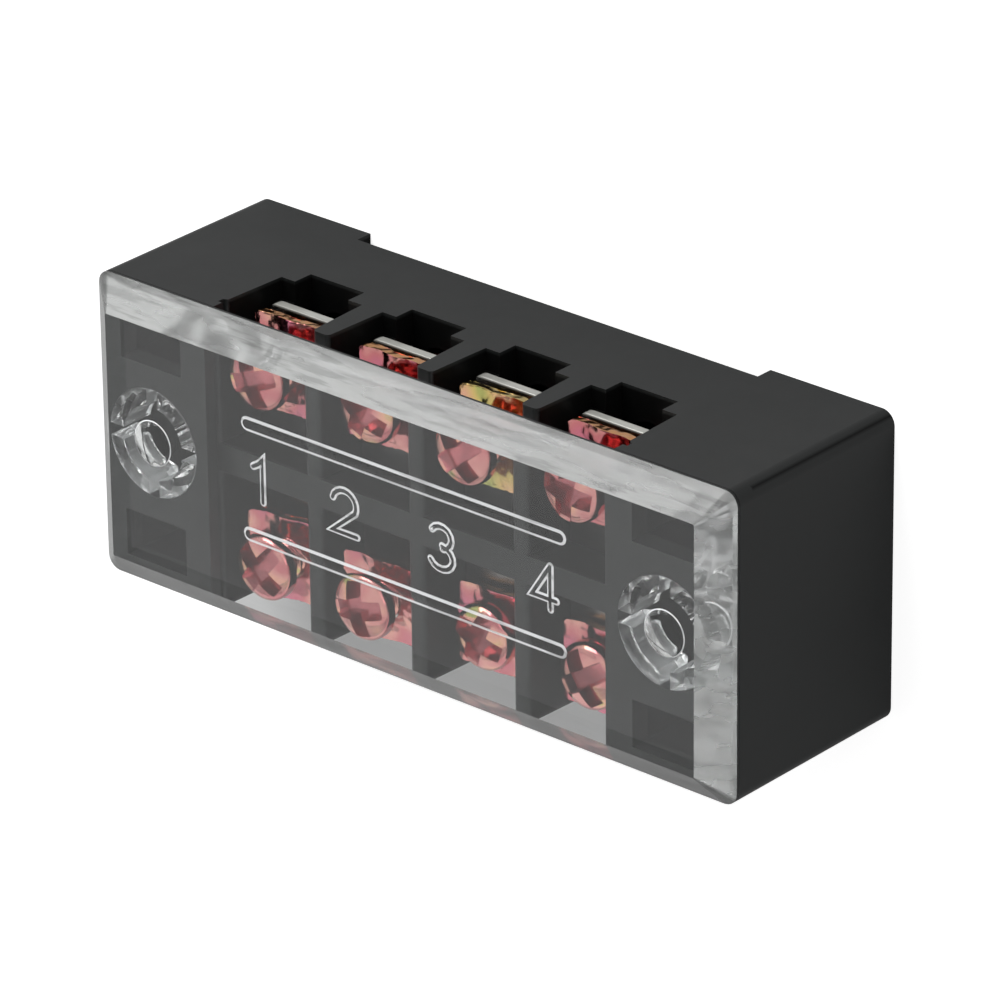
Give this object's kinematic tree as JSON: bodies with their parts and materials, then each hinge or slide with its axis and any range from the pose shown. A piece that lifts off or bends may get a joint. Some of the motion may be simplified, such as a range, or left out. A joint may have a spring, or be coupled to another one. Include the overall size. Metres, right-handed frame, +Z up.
{
  "type": "barrier terminal strip",
  "caption": "Black barrier terminal strip with screw clamp terminals in two rows, plated bars across the poles and a clear bevelled push-on cover.",
  "frame": {"origin": "middle of the mounting face, on the plane of the feet", "axes": "+X along the row of poles from pole 1 to pole 4, +Y towards terminal row a, +Z up from the mounting face through the cover"},
  "size_m": [0.0544, 0.022, 0.0173],
  "materials": {
    "housing": "satin moulded black plastic",
    "cover": "clear polished plastic",
    "bar": "dull tin plate",
    "washer": "iridescent colour-passivated zinc plate",
    "screw": "iridescent colour-passivated zinc plate"
  },
  "bodies": {
    "housing": {"base": "housing", "terminal_bar_1": "bar", "terminal_bar_2": "bar", "terminal_bar_3": "bar", "terminal_bar_4": "bar"},
    "cover": {"cover": "cover"},
    "clamp_1a": {"clamp_washer_1a": "washer"},
    "screw_1a": {"terminal_screw_1a": "screw"},
    "clamp_1b": {"clamp_washer_1b": "washer"},
    "screw_1b": {"terminal_screw_1b": "screw"},
    "clamp_2a": {"clamp_washer_2a": "washer"},
    "screw_2a": {"terminal_screw_2a": "screw"},
    "clamp_2b": {"clamp_washer_2b": "washer"},
    "screw_2b": {"terminal_screw_2b": "screw"},
    "clamp_3a": {"clamp_washer_3a": "washer"},
    "screw_3a": {"terminal_screw_3a": "screw"},
    "clamp_3b": {"clamp_washer_3b": "washer"},
    "screw_3b": {"terminal_screw_3b": "screw"},
    "clamp_4a": {"clamp_washer_4a": "washer"},
    "screw_4a": {"terminal_screw_4a": "screw"},
    "clamp_4b": {"clamp_washer_4b": "washer"},
    "screw_4b": {"terminal_screw_4b": "screw"}
  },
  "joints": [
    {"name": "cover_lift", "type": "slide", "parent": "housing", "child": "cover", "axis": [0, 0, 1], "range_m": [0, 0.006]},
    {"name": "clamp_lift_1a", "type": "slide", "parent": "housing", "child": "clamp_1a", "axis": [0, 0, 1], "range_m": [-0.00055, 0.00015]},
    {"name": "screw_turn_1a", "type": "hinge", "parent": "clamp_1a", "child": "screw_1a", "pos_m": [-0.01335, 0.0069, 0.012], "axis": [0, 0, 1], "range_deg": [-397, 109]},
    {"name": "clamp_lift_1b", "type": "slide", "parent": "housing", "child": "clamp_1b", "axis": [0, 0, 1], "range_m": [-0.00055, 0.0004]},
    {"name": "screw_turn_1b", "type": "hinge", "parent": "clamp_1b", "child": "screw_1b", "pos_m": [-0.01335, -0.0069, 0.012], "axis": [0, 0, 1], "range_deg": [-397, 289]},
    {"name": "clamp_lift_2a", "type": "slide", "parent": "housing", "child": "clamp_2a", "axis": [0, 0, 1], "range_m": [-0.00035, 0.001]},
    {"name": "screw_turn_2a", "type": "hinge", "parent": "clamp_2a", "child": "screw_2a", "pos_m": [-0.00445, 0.0069, 0.012], "axis": [0, 0, 1], "range_deg": [-253, 721]},
    {"name": "clamp_lift_2b", "type": "slide", "parent": "housing", "child": "clamp_2b", "axis": [0, 0, 1], "range_m": [-0.00085, 0.00015]},
    {"name": "screw_turn_2b", "type": "hinge", "parent": "clamp_2b", "child": "screw_2b", "pos_m": [-0.00445, -0.0069, 0.012], "axis": [0, 0, 1], "range_deg": [-613, 109]},
    {"name": "clamp_lift_3a", "type": "slide", "parent": "housing", "child": "clamp_3a", "axis": [0, 0, 1], "range_m": [-0.00055, 0.0002]},
    {"name": "screw_turn_3a", "type": "hinge", "parent": "clamp_3a", "child": "screw_3a", "pos_m": [0.00445, 0.0069, 0.012], "axis": [0, 0, 1], "range_deg": [-397, 145]},
    {"name": "clamp_lift_3b", "type": "slide", "parent": "housing", "child": "clamp_3b", "axis": [0, 0, 1], "range_m": [0, 0.00185]},
    {"name": "screw_turn_3b", "type": "hinge", "parent": "clamp_3b", "child": "screw_3b", "pos_m": [0.00445, -0.0069, 0.012], "axis": [0, 0, 1], "range_deg": [-1, 1333]},
    {"name": "clamp_lift_4a", "type": "slide", "parent": "housing", "child": "clamp_4a", "axis": [0, 0, 1], "range_m": [-0.00045, 0.0004]},
    {"name": "screw_turn_4a", "type": "hinge", "parent": "clamp_4a", "child": "screw_4a", "pos_m": [0.01335, 0.0069, 0.012], "axis": [0, 0, 1], "range_deg": [-325, 289]},
    {"name": "clamp_lift_4b", "type": "slide", "parent": "housing", "child": "clamp_4b", "axis": [0, 0, 1], "range_m": [0, 0.0019]},
    {"name": "screw_turn_4b", "type": "hinge", "parent": "clamp_4b", "child": "screw_4b", "pos_m": [0.01335, -0.0069, 0.012], "axis": [0, 0, 1], "range_deg": [-1, 1369]}
  ],
  "couplings": [
    {"joint": "screw_turn_1a", "follows": "clamp_lift_1a", "rad_per_m": 12566},
    {"joint": "screw_turn_1b", "follows": "clamp_lift_1b", "rad_per_m": 12566},
    {"joint": "screw_turn_2a", "follows": "clamp_lift_2a", "rad_per_m": 12566},
    {"joint": "screw_turn_2b", "follows": "clamp_lift_2b", "rad_per_m": 12566},
    {"joint": "screw_turn_3a", "follows": "clamp_lift_3a", "rad_per_m": 12566},
    {"joint": "screw_turn_3b", "follows": "clamp_lift_3b", "rad_per_m": 12566},
    {"joint": "screw_turn_4a", "follows": "clamp_lift_4a", "rad_per_m": 12566},
    {"joint": "screw_turn_4b", "follows": "clamp_lift_4b", "rad_per_m": 12566}
  ]
}
